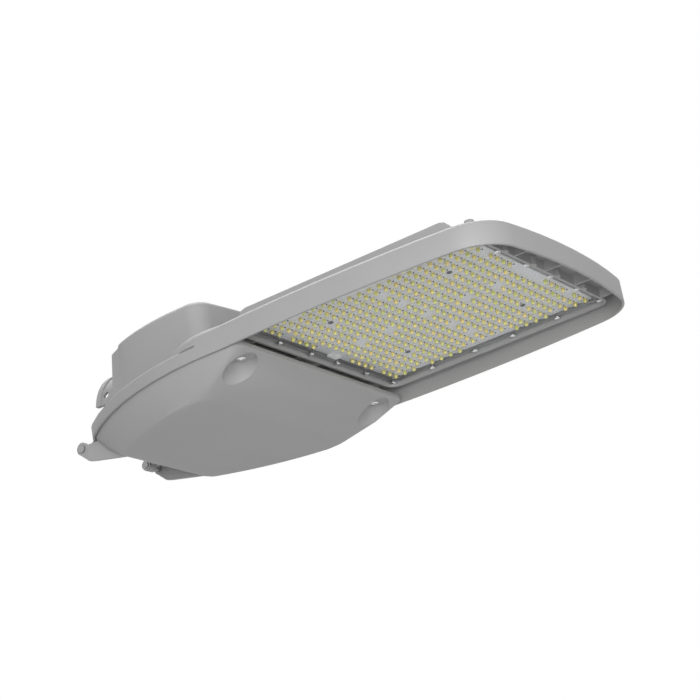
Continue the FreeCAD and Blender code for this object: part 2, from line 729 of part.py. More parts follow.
def pockets(extra, top_z):
    """Tapered wells around the door screws, wider towards the open bottom."""
    narrow = POCKET_R + extra
    wide = narrow + POCKET_FLARE * (top_z - BELOW_Z)
    return both_sides(stacked([
        round_ring(DOOR_SCREW_X, DOOR_SCREW_Y, BELOW_Z, wide, wide, PAD_SIDES),
        round_ring(DOOR_SCREW_X, DOOR_SCREW_Y, top_z, narrow, narrow, PAD_SIDES),
    ]))


def hinge_arm():
    """Flat arm cast on the door, reaching back under the rim to the hinge pin."""
    top_z = RIM_LOW_Z - ARM_RIM_GAP
    plate = side_plate([
        (DOOR_FLAT_REAR_X, DOOR_LOW_Z + LAP),
        (HINGE_X + 2 * HINGE_LOBE_R, HINGE_Z - ARM_HEEL_DROP),
        (HINGE_X + HINGE_LOBE_R, HINGE_Z - ARM_KNEE_DROP),
        (HINGE_X - HINGE_LOBE_R * math.sin(math.pi / 3), HINGE_Z - HINGE_LOBE_R / 2),
        (HINGE_X, HINGE_Z + HINGE_LOBE_R),
        (HINGE_X + HINGE_LOBE_R, top_z),
        (REAR_X + POCKET_R, top_z),
        (DOOR_FLAT_REAR_X, DOOR_FLANGE_Z - HINGE_LOBE_R),
    ], ARM_INNER_Y, ARM_PLATE)
    return fuse(plate, [cross_rod(HINGE_X, HINGE_Z, ARM_INNER_Y, ARM_OUTER_Y, HINGE_LOBE_R)])


def door():
    """Door casting: rim flange, sloped tray, screw pockets and two hinge arms."""
    outside, hollow = door_tray()
    body = outside.fuse(both_sides(hinge_arm())).cut(hollow)
    bosses = [well.common(outside) for well in pockets(DOOR_WALL, DOOR_TOP_Z)]
    body = cut_all(body.fuse(bosses), pockets(0, POCKET_FLOOR_Z))
    screw_room = DOOR_SCREW_D / 2 + HOLE_ROOM
    holes = both_sides(post(DOOR_SCREW_X, DOOR_SCREW_Y, BELOW_Z, DOOR_TOP_Z + LAP, screw_room, BOSS_SIDES))
    pin_room = PIN_D / 2 + PIN_CLEARANCE
    holes += both_sides(cross_rod(HINGE_X, HINGE_Z, ARM_INNER_Y - LAP, ARM_OUTER_Y + LAP, pin_room))
    return cut_all(body, holes).removeSplitter()


def door_gasket():
    """Seal on the door's edge under the housing ledge, open where the mast arm enters."""
    top = LEDGE_Z - SEAL_AIR
    front = CAB_WALL_X
    outer = pillar(rim_ring(SEAL_INSET), DOOR_TOP_Z, top)
    outer = outer.common(box(REAR_X, front, -WIDE, WIDE, DOOR_TOP_Z, top))
    inner = pillar(rim_ring(SEAL_INSET + SEAL_WIDTH), DOOR_TOP_Z, top)
    inner = inner.common(box(REAR_X, front - SEAL_WIDTH, -WIDE, WIDE, DOOR_TOP_Z, top))
    gate_y = NOTCH_HALF + LAP
    gate = box(REAR_X, REAR_X + 2 * (SEAL_INSET + SEAL_WIDTH), -gate_y, gate_y, DOOR_TOP_Z, top)
    return cut_all(outer, [inner, gate])


def screw(x, y, head_z, length, size):
    """Screw with its head below head_z and its shank going up, its thread left plain."""
    shank_r, head_r, head_h = size
    head = post(x, y, head_z - head_h, head_z, head_r, HEAD_SIDES)
    return fuse(head, [post(x, y, head_z - head_h / 2, head_z + length, shank_r, SHANK_SIDES)])


def door_screws():
    length = DOOR_SCREW_TOP_Z - POCKET_FLOOR_Z
    return both_sides(screw(DOOR_SCREW_X, DOOR_SCREW_Y, POCKET_FLOOR_Z, length, DOOR_SCREW))


def screw_retainers():
    """Push-on rings that keep the door screws with the open door."""
    top = DOOR_TOP_Z + RETAINER_THICK
    hole_r = DOOR_SCREW_D / 2 + PRESS_ROOM
    ring = post(DOOR_SCREW_X, DOOR_SCREW_Y, DOOR_TOP_Z, top, RETAINER_R, BOSS_SIDES)
    hole = post(DOOR_SCREW_X, DOOR_SCREW_Y, DOOR_TOP_Z - LAP, top + LAP, hole_r, SHANK_SIDES)
    return both_sides(ring.cut(hole))


def hinge_pins():
    """Headed pins from the lugs out through the door arms."""
    head_y = ARM_OUTER_Y + HEAD_ROOM
    shaft = cross_rod(HINGE_X, HINGE_Z, LUG_INNER_Y - PIN_TAIL, head_y + PIN_HEAD, PIN_D / 2)
    head = cross_post(HINGE_X, HINGE_Z, head_y, head_y + PIN_HEAD, PIN_HEAD_R, BOSS_SIDES)
    return both_sides(fuse(shaft, [head]))


def pin_clips():
    """Retaining clips on the inner ends of the hinge pins."""
    clip_y = LUG_INNER_Y - HEAD_ROOM - PIN_CLIP
    ring = cross_post(HINGE_X, HINGE_Z, clip_y, clip_y + PIN_CLIP, PIN_CLIP_R, BOSS_SIDES)
    hole_r = (PIN_D / 2 + PRESS_ROOM) / math.cos(math.pi / BOSS_SIDES)
    hole = cross_post(HINGE_X, HINGE_Z, clip_y - LAP, clip_y + PIN_CLIP + LAP, hole_r, BOSS_SIDES)
    return both_sides(ring.cut(hole))


def has_led(a, b):
    """False at the clear cells: side gaps, board screws and the marks on the two axes."""
    far, near = max(abs(a), abs(b)), min(abs(a), abs(b))
    at_edge = far == EDGE_CELL and (near <= EDGE_CLEAR_CELLS or near == CLEAR_CELL)
    at_screw = far == near == BOARD_SCREW_CELL
    on_axis = near == 0 and far in (0, POST_CELL, CLEAR_CELL)
    return not (at_edge or at_screw or on_axis)


def led_packages():
    """One package for each lit cell of the grid."""
    half = PACKAGE / 2
    package = box(-half, half, -half, half, LED_FACE_Z, BOARD_FACE_Z)
    cells = range(-EDGE_CELL, EDGE_CELL + 1)
    packages = []
    for a, b in [(a, b) for a in cells for b in cells if has_led(a, b)]:
        copy = package.copy()
        copy.translate(Vector(ARRAY_X + a * PITCH, b * PITCH, 0))
        packages.append(copy)
    return packages


def led_board():
    board = lens_square(BOARD_HALF, BOARD_CORNER_R, BOARD_FACE_Z, BASE_Z)
    hole_r = BOARD_SCREW[0] + HOLE_ROOM
    holes = [post(x, y, BOARD_FACE_Z - LAP, BASE_Z + LAP, hole_r, SHANK_SIDES) for x, y in board_screw_spots()]
    return cut_all(board, holes)


def lens_screw_holes():
    hole_r = LENS_SCREW[0] + HOLE_ROOM
    return [post(x, y, LENS_LOW_Z - LAP, BASE_Z + LAP, hole_r, SHANK_SIDES) for x, y in lens_screw_spots()]


def lens_gasket():
    """Flat silicone ring between the casting and the lens plate."""
    ring = lens_square(LENS_HALF, LENS_CORNER_R, LENS_TOP_Z, BASE_Z)
    opening = lens_square(LENS_HALF - GASKET_BAND, GASKET_CORNER_R, LENS_TOP_Z - LAP, BASE_Z + LAP)
    return cut_all(ring, [opening] + lens_screw_holes())


def plug_box(room, z0, z1):
    x = ARRAY_X - PLUG_CELL_X * PITCH
    y = PLUG_CELL_Y * PITCH
    half_x = PLUG_WIDTH / 2 + room
    half_y = PLUG_LENGTH / 2 + room
    return box(x - half_x, x + half_x, y - half_y, y + half_y, z0, z1)


def lens_plate():
    """Clear plate, cut out for the board screws' heads and the plug."""
    plate = lens_square(LENS_HALF, LENS_CORNER_R, LENS_LOW_Z, LENS_TOP_Z)
    head_r = BOARD_SCREW[1] + HEAD_ROOM
    heads = [post(x, y, LENS_LOW_Z - LAP, LENS_TOP_Z + LAP, head_r, HEAD_SIDES) for x, y in board_screw_spots()]
    plug = plug_box(PLUG_ROOM + PLUG_LATCH, LENS_LOW_Z - LAP, LENS_TOP_Z + LAP)
    return cut_all(plate, lens_screw_holes() + heads + [plug])


def lens_screws():
    length = BASE_Z + SCREW_GRIP - SCREW_END_ROOM - LENS_LOW_Z
    return [screw(x, y, LENS_LOW_Z, length, LENS_SCREW) for x, y in lens_screw_spots()]


def board_screws():
    length = BASE_Z + SCREW_GRIP - SCREW_END_ROOM - BOARD_FACE_Z
    return [screw(x, y, BOARD_FACE_Z, length, BOARD_SCREW) for x, y in board_screw_spots()]


def led_connector():
    """Low plug block on the board, in the clear spot beside the compartment."""
    low_z = BOARD_FACE_Z - PLUG_HEIGHT
    block = plug_box(0, low_z, BOARD_FACE_Z)
    latch = plug_box(PLUG_LATCH, low_z + PLUG_LATCH, BOARD_FACE_Z)
    side_y = PLUG_CELL_Y * PITCH
    latch = latch.common(box(0, TIP_X, side_y - PLUG_WIDTH / 2, side_y + PLUG_WIDTH / 2, low_z, BOARD_FACE_Z))
    return fuse(block, [latch])


def arm_clamp():
    """Lower saddle that pulls the mast arm up into the cradle."""
    half = CLAMP_LENGTH / 2
    reach = SEAT_R + CLAMP_WALL
    saddle = arm_rod(-half, half, reach).common(box(-half, half, -reach, reach, -reach, CLAMP_TOP_Z))
    ear = box(-CLAMP_BOSS_R, CLAMP_BOSS_R, ARM_R, CLAMP_REACH, CLAMP_TOP_Z - CLAMP_EAR, CLAMP_TOP_Z)
    body = fuse(saddle, both_sides(ear)).cut(arm_rod(-half - LAP, half + LAP, SEAT_R))
    hole_r = CLAMP_BOLT_D / 2 + CLAMP_BOLT_ROOM
    hole = post(0, CLAMP_BOLT_Y, CLAMP_TOP_Z - CLAMP_EAR - LAP, CLAMP_TOP_Z + LAP, hole_r, HEAD_SIDES)
    return cut_all(body, both_sides(hole))


def clamp_bolts():
    """Hexagon bolts through the saddle's ears into the cradle."""
    head_z = CLAMP_TOP_Z - CLAMP_EAR - CLAMP_WASHER
    head = post(0, CLAMP_BOLT_Y, head_z - BOLT_HEAD, head_z, BOLT_HEAD_R, SHANK_SIDES)
    shank_top = CLAMP_SPLIT_Z + CLAMP_BOLT_GRIP
    shank = post(0, CLAMP_BOLT_Y, head_z - LAP, shank_top, CLAMP_BOLT_D / 2, HEAD_SIDES)
    return both_sides(fuse(head, [shank]))


def clamp_washers():
    top = CLAMP_TOP_Z - CLAMP_EAR
    ring = post(0, CLAMP_BOLT_Y, top - CLAMP_WASHER, top, CLAMP_BOLT_D, BOSS_SIDES)
    hole_r = CLAMP_BOLT_D / 2 + CLAMP_BOLT_ROOM
    return both_sides(ring.cut(post(0, CLAMP_BOLT_Y, top - BOLT_HEAD, top + LAP, hole_r, HEAD_SIDES)))


def foot_spots(unit):
    """Screw positions at a hanging unit's two ends."""
    x, y, _, width, _ = unit
    reach = width / 2 + FOOT / 2
    return [(x, y - reach), (x, y + reach)]


def hanging_case(unit):
    """Closed case with a screw foot at each end, up against its roof bosses."""
    x, y, length, width, height = unit
    top = ROOF_Z - HANGER
    case = box(x - length / 2, x + length / 2, y - width / 2, y + width / 2, top - height, top)
    feet = box(x - FOOT_HALF, x + FOOT_HALF, y - width / 2 - FOOT, y + width / 2 + FOOT, top - FOOT_THICK, top)
    hole_r = UNIT_SCREW[0] + HOLE_ROOM
    holes = [post(a, b, top - FOOT_THICK - LAP, top + LAP, hole_r, SHANK_SIDES) for a, b in foot_spots(unit)]
    return cut_all(fuse(case, [feet]), holes)


def hanger(x, y, shank_r):
    """Boss under the dome's roof with a blind screw hole."""
    low = ROOF_Z - HANGER
    boss = post(x, y, low, ROOF_Z + LAP, HANGER_R, HEAD_SIDES)
    return boss.cut(post(x, y, low - LAP, low + SCREW_GRIP, shank_r + PRESS_ROOM, SHANK_SIDES))


def hangers():
    spots = foot_spots(DRIVER) + foot_spots(TERMINAL_BLOCK) + foot_spots(SURGE_PROTECTOR)
    return [hanger(x, y, UNIT_SCREW[0]) for x, y in spots] + [hanger(EARTH_X, EARTH_Y, EARTH_SCREW[0])]


def unit_screws(unit):
    head_z = ROOF_Z - HANGER - FOOT_THICK
    length = FOOT_THICK + SCREW_GRIP - SCREW_END_ROOM
    return [screw(x, y, head_z, length, UNIT_SCREW) for x, y in foot_spots(unit)]


def driver():
    return hanging_case(DRIVER)


def driver_screws():
    return unit_screws(DRIVER)


def terminal_block():
    """Three-pole block for the supply wires, with one entry slot for each pole."""
    x, y, length, width, height = TERMINAL_BLOCK
    low = ROOF_Z - HANGER - height
    pole = length / POLES
    slots = []
    for index in range(POLES):
        middle = x + (index - (POLES - 1) / 2) * pole
        half = POLE_SLOT / 2
        slots.append(box(middle - half, middle + half, y - width, y + width, low - LAP, low + POLE_SLOT))
    return cut_all(hanging_case(TERMINAL_BLOCK), slots)


def terminal_screws():
    return unit_screws(TERMINAL_BLOCK)


def surge_protector():
    return hanging_case(SURGE_PROTECTOR)


def surge_screws():
    return unit_screws(SURGE_PROTECTOR)


def earth_screw():
    return screw(EARTH_X, EARTH_Y, ROOF_Z - HANGER, SCREW_GRIP - SCREW_END_ROOM, EARTH_SCREW)


PARTS = {
    "housing": housing,
    "door": door,
    "door_gasket": door_gasket,
    "door_screws": door_screws,
    "screw_retainers": screw_retainers,
    "hinge_pins": hinge_pins,
    "pin_clips": pin_clips,
    "led_board": led_board,
    "led_packages": led_packages,
    "board_screws": board_screws,
    "led_connector": led_connector,
    "lens_gasket": lens_gasket,
    "lens_plate": lens_plate,
    "lens_screws": lens_screws,
    "arm_clamp": arm_clamp,
    "clamp_bolts": clamp_bolts,
    "clamp_washers": clamp_washers,
    "driver": driver,
    "driver_screws": driver_screws,
    "terminal_block": terminal_block,
    "terminal_screws": terminal_screws,
    "surge_protector": surge_protector,
    "surge_screws": surge_screws,
    "earth_screw": earth_screw,
}

os.makedirs("parts", exist_ok=True)
for name, make in PARTS.items():
    made = make()
    shape = Part.makeCompound(made) if isinstance(made, list) else made
    shape.exportStep(f"parts/{name}.step")
    print(name, len(shape.Solids), "solids", shape.isValid(), round(shape.Volume / 1000, 1), "cm3")
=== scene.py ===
import bpy
import json
import math
from mathutils import Matrix, Vector


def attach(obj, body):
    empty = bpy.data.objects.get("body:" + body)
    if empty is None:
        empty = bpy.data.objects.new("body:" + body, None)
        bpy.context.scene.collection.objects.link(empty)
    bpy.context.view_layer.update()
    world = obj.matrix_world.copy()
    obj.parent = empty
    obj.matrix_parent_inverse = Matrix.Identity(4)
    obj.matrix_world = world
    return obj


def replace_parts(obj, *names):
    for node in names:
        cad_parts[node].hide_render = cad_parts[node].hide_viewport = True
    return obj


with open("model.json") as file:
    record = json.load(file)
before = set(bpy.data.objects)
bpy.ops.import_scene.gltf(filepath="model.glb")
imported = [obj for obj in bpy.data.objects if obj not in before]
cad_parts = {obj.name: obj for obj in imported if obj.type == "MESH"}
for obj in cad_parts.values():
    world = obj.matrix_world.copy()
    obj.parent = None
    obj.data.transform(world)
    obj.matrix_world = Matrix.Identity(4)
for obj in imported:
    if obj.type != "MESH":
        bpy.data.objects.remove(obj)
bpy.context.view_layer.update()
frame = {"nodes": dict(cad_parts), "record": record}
nodes = frame["nodes"]
print("frame loaded:", len(nodes), "CAD nodes")

mm = 0.001
scene = bpy.context.scene

view = {
    "place": (1.4209, -1.9188, -0.8694),
    "azimuth": 31.15,
    "elevation": -20.74,
    "roll": -10.35,
    "lens": 107.47,
    "sensor": 36.0,
    "farthest": 50.0,
}


def turned(degrees, axis):
    return Matrix.Rotation(math.radians(degrees), 4, axis)


def addCamera(settings):
    bpy.ops.object.camera_add()
    camera = bpy.context.object
    camera.name = "photoCamera"
    camera.data.lens = settings["lens"]
    camera.data.sensor_width = settings["sensor"]
    camera.data.clip_end = settings["farthest"]
    aim = turned(settings["azimuth"], "Z") @ turned(90 - settings["elevation"], "X")
    turn = aim @ turned(settings["roll"], "Z")
    camera.matrix_world = Matrix.Translation(settings["place"]) @ turn
    scene.camera = camera


class Sig:
    # a node socket that can stand in a sum, so that shader maths reads as maths
    def __init__(self, tree, socket):
        self.tree = tree
        self.socket = socket

    def joined(self, operation, first, second=None):
        node = self.tree.nodes.new("ShaderNodeMath")
        node.operation = operation
        for slot, value in enumerate([first, second]):
            if isinstance(value, Sig):
                self.tree.links.new(value.socket, node.inputs[slot])
            elif value is not None:
                node.inputs[slot].default_value = value
        return Sig(self.tree, node.outputs[0])

    def __add__(self, other):
        return self.joined("ADD", self, other)

    def __radd__(self, other):
        return self.joined("ADD", other, self)

    def __sub__(self, other):
        return self.joined("SUBTRACT", self, other)

    def __mul__(self, other):
        return self.joined("MULTIPLY", self, other)

    def __pow__(self, other):
        return self.joined("POWER", self, other)

class Finish:
    # one material and its nodes
    def __init__(self, name):
        self.material = bpy.data.materials.new(name)
        self.material.use_nodes = True
        self.tree = self.material.node_tree
        self.tree.nodes.clear()
        self.out = self.tree.nodes.new("ShaderNodeOutputMaterial")
        self.coords = None

    def add(self, kind, settings=None, sockets=None, output=0):
        # a node's type, its settings first, then the values or links of its sockets
        node = self.tree.nodes.new("ShaderNode" + kind)
        for key, value in (settings or {}).items():
            if key == "stops":
                self.setStops(node.color_ramp, value)
            else:
                setattr(node, key, value)
        for key, value in (sockets or {}).items():
            if isinstance(value, Sig):
                self.tree.links.new(value.socket, node.inputs[key])
            else:
                node.inputs[key].default_value = value
        return Sig(self.tree, node.outputs[output])

    def setStops(self, ramp, stops):
        while len(ramp.elements) < len(stops):
            ramp.elements.new(0.5)
        for element, (position, color) in zip(ramp.elements, stops):
            element.position = position
            element.color = color

    def place(self):
        if self.coords is None:
            self.coords = self.add("TexCoord", output=3)
        return self.coords

    def noise(self, scale, detail=3.0, rough=0.55):
        sockets = {"Vector": self.place(), "Scale": scale, "Detail": detail, "Roughness": rough}
        return self.add("TexNoise", None, sockets)

    def mixed(self, factor, first, second):
        return self.add("Mix", {"data_type": "RGBA"}, {0: factor, 6: first, 7: second}, output=2)

    def bump(self, height, strength, distance, normal=None):
        sockets = {"Height": height, "Strength": strength, "Distance": distance}
        if normal is not None:
            sockets["Normal"] = normal
        return self.add("Bump", None, sockets)

    def shade(self, sockets, kind="BsdfPrincipled"):
        return self.add(kind, None, sockets)

    def finish(self, shader):
        self.tree.links.new(shader.socket, self.out.inputs["Surface"])
        return self.material


def grey(value, tint=0.0):
    return (value - tint, value, value + tint, 1)


# each noise is its scale, its detail and its roughness
paint = {
    "light": grey(0.385),
    "deep": grey(0.34),
    "dusty": grey(0.3),
    "rough": 0.49,
    "roughSwing": 0.1,
    "specular": 0.4,
    "clouds": (9.0, 4.0, 0.6),
    "dust": (34.0, 6.0, 0.7),
    "dustShare": 0.16,
    "peel": (1400.0, 2.0),
    "peelDepth": 0.06 * mm,
    "peelStrength": 0.35,
    "edgeRadius": 0.9 * mm,
    "edgeSamples": 6,
}


def paintFinish(settings):
    look = Finish("satinPaint")
    clouds = look.noise(*settings["clouds"])
    dust = look.noise(*settings["dust"])
    peel = look.noise(*settings["peel"])
    color = look.mixed(clouds, settings["deep"], settings["light"])
    color = look.mixed(dust * settings["dustShare"], color, settings["dusty"])
    rounded = look.add("Bevel", {"samples": settings["edgeSamples"]}, {"Radius": settings["edgeRadius"]})
    return look.finish(look.shade({
        "Base Color": color,
        "Roughness": settings["rough"] + (clouds - 0.5) * settings["roughSwing"],
        "Specular IOR Level": settings["specular"],
        "Normal": look.bump(peel, settings["peelStrength"], settings["peelDepth"], rounded),
    }))


bareCast = {
    "light": grey(0.62),
    "deep": grey(0.46),
    "grain": (900.0, 5.0, 0.65),
    "depth": 0.12 * mm,
    "strength": 0.5,
    "metal": 0.85,
    "rough": 0.42,
    "swing": 0.2,
}


def castFinish(settings):
    look = Finish("bareCastMetal")
    grain = look.noise(*settings["grain"])
    return look.finish(look.shade({
        "Base Color": look.mixed(grain, settings["deep"], settings["light"]),
        "Metallic": settings["metal"],
        "Roughness": settings["rough"] + grain * settings["swing"],
        "Normal": look.bump(grain, settings["strength"], settings["depth"]),
    }))


brightSteel = {
    "name": "brightSteel",
    "light": grey(0.8),
    "deep": grey(0.66),
    "scratch": 2600.0,
    "depth": 0.03 * mm,
    "strength": 0.2,
    "rough": 0.2,
    "swing": 0.16,
    "edge": 0.3 * mm,
    "edgeSamples": 4,
}
# near-black steel for the board screws: real screws, darkened as painted shade standing for the dark holes
# they sit in
holeShadeSteel = dict(brightSteel, name="holeShadeSteel", light=grey(0.08), deep=grey(0.04), rough=0.3)
dullZinc = dict(brightSteel, name="dullZinc", light=grey(0.4), deep=grey(0.3), rough=0.42)


def steelFinish(settings):
    look = Finish(settings["name"])
    scratch = look.noise(settings["scratch"])
    rounded = look.add("Bevel", {"samples": settings["edgeSamples"]}, {"Radius": settings["edge"]})
    return look.finish(look.shade({
        "Base Color": look.mixed(scratch, settings["deep"], settings["light"]),
        "Metallic": 1.0,
        "Roughness": settings["rough"] + scratch * settings["swing"],
        "Normal": look.bump(scratch, settings["strength"], settings["depth"], rounded),
    }))


silicone = {
    "name": "darkSilicone",
    "deep": grey(0.035),
    "bloom": grey(0.075),
    "bloomNoise": (120.0, 4.0),
    "pores": 1800.0,
    "poreDepth": 0.05 * mm,
    "poreStrength": 0.3,
    "rough": 0.5,
    "swing": 0.2,
}
lensSilicone = dict(silicone, name="greySilicone", deep=grey(0.26), bloom=grey(0.36), rough=0.38)


def rubberFinish(settings):
    look = Finish(settings["name"])
    bloom = look.noise(*settings["bloomNoise"])
    pores = look.noise(settings["pores"])
    return look.finish(look.shade({
        "Base Color": look.mixed(bloom, settings["deep"], settings["bloom"]),
        "Roughness": settings["rough"] + bloom * settings["swing"],
        "Normal": look.bump(pores, settings["poreStrength"], settings["poreDepth"]),
    }))


board = {
    "mask": grey(0.88, 0.014),
    "worn": grey(0.78, 0.012),
    "track": grey(0.62, 0.008),
    "trackScale": 75.0,
    "trackGap": 0.045,
    "trackColors": (grey(1), grey(0.9), grey(0)),
    "trackDepth": 0.1 * mm,
    "trackStrength": 0.2,
    "tone": (60.0, 4.0),
    "rough": 0.36,
    "swing": 0.15,
}


def boardFinish(settings):
    look = Finish("whiteBoard")
    tone = look.noise(*settings["tone"])
    plain, second, gap = settings["trackColors"]
    tracks = look.add("TexBrick", None, {
        "Vector": look.place(),
        "Scale": settings["trackScale"],
        "Mortar Size": settings["trackGap"],
        "Color1": plain,
        "Color2": second,
        "Mortar": gap,
    })
    mask = look.mixed(tone, settings["worn"], settings["mask"])
    return look.finish(look.shade({
        "Base Color": look.mixed(tracks, settings["track"], mask),
        "Roughness": settings["rough"] + tone * settings["swing"],
        "Normal": look.bump(tracks, settings["trackStrength"], settings["trackDepth"]),
    }))


phosphor = {
    "deep": (0.58, 0.47, 0.04, 1),
    "light": (0.76, 0.66, 0.09, 1),
    "grain": (3000.0, 2.0),
    "grainDepth": 0.05 * mm,
    "grainStrength": 0.3,
    "drift": (55.0, 1.0),
    "rough": 0.32,
    "swing": 0.2,
    "coat": 0.4,
}


def phosphorFinish(settings):
    look = Finish("yellowPhosphor")
    grain = look.noise(*settings["grain"])
    drift = look.noise(*settings["drift"])
    return look.finish(look.shade({
        "Base Color": look.mixed(drift, settings["deep"], settings["light"]),
        "Roughness": settings["rough"] + grain * settings["swing"],
        "Coat Weight": settings["coat"],
        "Normal": look.bump(grain, settings["grainStrength"], settings["grainDepth"]),
    }))


phosphorDome = {
    "green": (0.66, 0.7, 0.17, 1),
    "orange": (0.88, 0.71, 0.2, 1),
    "drift": (70.0, 1.0),
    "stops": ((0.35, grey(0)), (0.65, grey(1))),
    "rough": 0.22,
    "roughSwing": 0.1,
    "coat": 0.8,
}


def domeFinish(settings):
    # the phosphor as its dome magnifies it, from green to orange yellow along the board
    look = Finish("phosphorUnderDome")
    drift = look.noise(*settings["drift"])
    hue = look.add("ValToRGB", {"stops": settings["stops"]}, {"Fac": drift})
    return look.finish(look.shade({
        "Base Color": look.mixed(hue, settings["green"], settings["orange"]),
        "Roughness": settings["rough"] + drift * settings["roughSwing"],
        "Coat Weight": settings["coat"],
    }))


whitePlastic = {
    "name": "whitePlastic",
    "deep": grey(0.72),
    "light": grey(0.8),
    "tone": (40.0, 4.0),
    "fine": (2200.0, 2.0),
    "fineDepth": 0.05 * mm,
    "fineStrength": 0.2,
    "rough": 0.3,
    "swing": 0.12,
}
blackPlastic = dict(whitePlastic, name="blackPlastic", deep=grey(0.03), light=grey(0.05), rough=0.4)
# near-black plastic for painted shade: the dark spot at the tip side of each LED dome, standing for the
# dome's dark edge
paintedShadePlastic = dict(whitePlastic, name="paintedShadePlastic", deep=grey(0.025), light=grey(0.05), rough=0.35)


def plasticFinish(settings):
    look = Finish(settings["name"])
    tone = look.noise(*settings["tone"])
    fine = look.noise(*settings["fine"])
    return look.finish(look.shade({
        "Base Color": look.mixed(tone, settings["deep"], settings["light"]),
        "Roughness": settings["rough"] + fine * settings["swing"],
        "Normal": look.bump(fine, settings["fineStrength"], settings["fineDepth"]),
    }))


drawnCase = {
    "deep": grey(0.55),
    "light": grey(0.68),
    "stretch": (40.0, 900.0, 900.0),
    "detail": 3.0,
    "depth": 0.05 * mm,
    "strength": 0.15,
    "metal": 0.9,
    "rough": 0.3,
    "swing": 0.15,
}


def caseFinish(settings):
    look = Finish("plainMetalCase")
    grainPlace = look.add("Mapping", None, {"Vector": look.place(), "Scale": settings["stretch"]})
    sockets = {"Vector": grainPlace, "Scale": 1.0, "Detail": settings["detail"]}
    brushed = look.add("TexNoise", None, sockets)
    return look.finish(look.shade({
        "Base Color": look.mixed(brushed, settings["deep"], settings["light"]),
        "Metallic": settings["metal"],
        "Roughness": settings["rough"] + brushed * settings["swing"],
        "Normal": look.bump(brushed, settings["strength"], settings["depth"]),
    }))


lensClear = {
    "name": "clearAcrylic",
    "tint": grey(0.975, 0.003),
    "rough": 0.05,
    "roughSwing": 0.06,
    "ripple": (140.0, 2.0),
    "rippleDepth": 0.25 * mm,
    "rippleStrength": 0.3,
    "least": 0.015,
    "most": 0.35,
    "power": 4.0,
}
opticClear = dict(
    lensClear,
    name="clearOptics",
    tint=grey(0.985),
    rough=0.08,
    roughSwing=0.04,
    ripple=(600.0, 2.0),
    rippleDepth=0.05 * mm,
    most=0.3,
)


def clearFinish(settings):
    look = Finish(settings["name"])
    ripple = look.noise(*settings["ripple"])
    surface = look.bump(ripple, settings["rippleStrength"], settings["rippleDepth"])
    gloss = look.shade({
        "Base Color": grey(1),
        "Metallic": 1.0,
        "Roughness": settings["rough"] + ripple * settings["roughSwing"],
        "Normal": surface,
    })
    clear = look.shade({"Color": settings["tint"]}, "BsdfTransparent")
    # Facing, and not Fresnel, because Fresnel turns the far side of a clear wall into a full mirror
    slant = look.add("LayerWeight", None, {"Blend": 0.5, "Normal": surface}, output=1)
    share = slant ** settings["power"] * settings["most"] + settings["least"]
    return look.finish(look.add("MixShader", None, {0: share, 1: clear, 2: gloss}))


finishes = {
    "casting": paintFinish(paint),
    "clamp_casting": castFinish(bareCast),
    "steel": steelFinish(brightSteel),
    "seal": rubberFinish(silicone),
    "board_white": boardFinish(board),
    "phosphor": phosphorFinish(phosphor),
    "connector_white": plasticFinish(whitePlastic),
    "surge_case": plasticFinish(blackPlastic),
    "driver_case": caseFinish(drawnCase),
    "clear_lens": clearFinish(lensClear),
}
opticFinish = clearFinish(opticClear)
paintedShadeFinish = plasticFinish(paintedShadePlastic)

ownFinishes = {
    "lens_gasket": rubberFinish(lensSilicone),
    "hinge_pins": steelFinish(dullZinc),
    "pin_clips": steelFinish(dullZinc),
}

slotOf = {part["node"]: part["material_slot"] for part in frame["record"]["subparts"]}
for name, node in nodes.items():
    node.data.materials.clear()
    node.data.materials.append(ownFinishes.get(name, finishes[slotOf[name]]))
print("finishes on", len(nodes), "CAD nodes")


def only(piece):
    bpy.ops.object.select_all(action="DESELECT")
    piece.select_set(True)
    bpy.context.view_layer.objects.active = piece


def fixPlace(piece):
    # its place, turn and size go into its mesh
    only(piece)
    bpy.ops.object.transform_apply(location=True, rotation=True, scale=True)


def remove(piece):
    only(piece)
    bpy.ops.object.delete()


def joinAll(pieces):
    bpy.ops.object.select_all(action="DESELECT")
    for piece in pieces:
        piece.select_set(True)
    bpy.context.view_layer.objects.active = pieces[0]
    bpy.ops.object.join()
    return bpy.context.object


def isBottom(face):
    return face.normal.z < -0.9


def pick(piece, wanted, kind="FACE"):
    # opens edit mode with only the faces, or points, that wanted says yes to
    only(piece)
    bpy.ops.object.mode_set(mode="EDIT")
    bpy.ops.mesh.select_mode(type=kind)
    bpy.ops.mesh.select_all(action="DESELECT")
    bpy.ops.object.mode_set(mode="OBJECT")
    for part in piece.data.polygons if kind == "FACE" else piece.data.vertices:
        part.select = wanted(part)
    bpy.ops.object.mode_set(mode="EDIT")


def done():
    bpy.ops.object.mode_set(mode="OBJECT")


def applied(piece, kind, **settings):
    only(piece)
    bpy.ops.object.modifier_add(type=kind)
    modifier = piece.modifiers[-1]
    for key, value in settings.items():
        setattr(modifier, key, value)
    bpy.ops.object.modifier_apply(modifier=modifier.name)


def settle(piece, body, finish, angle=35.0):
    # a finished piece lies at the origin with its place in its mesh
    fixPlace(piece)
    bpy.ops.object.shade_smooth_by_angle(angle=math.radians(angle))
    piece.data.materials.clear()
    piece.data.materials.append(finish)
    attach(piece, body)
    return piece


def copyTo(piece, places):
    # one copy for each place, all joined, and the piece itself goes
    copies = []
    for place in places:
        only(piece)
        bpy.ops.object.duplicate()
        copy = bpy.context.object
        bpy.ops.transform.translate(value=place)
        copies.append(copy)
    whole = joinAll(copies)
    remove(piece)
    return whole


shells = {
    "merge": 0.002 * mm,
    "edge": 0.7 * mm,
    "doorEdge": 1.6 * mm,
    "sharp": 32.0,
    "steps": 2,
    "smooth": 40.0,
}


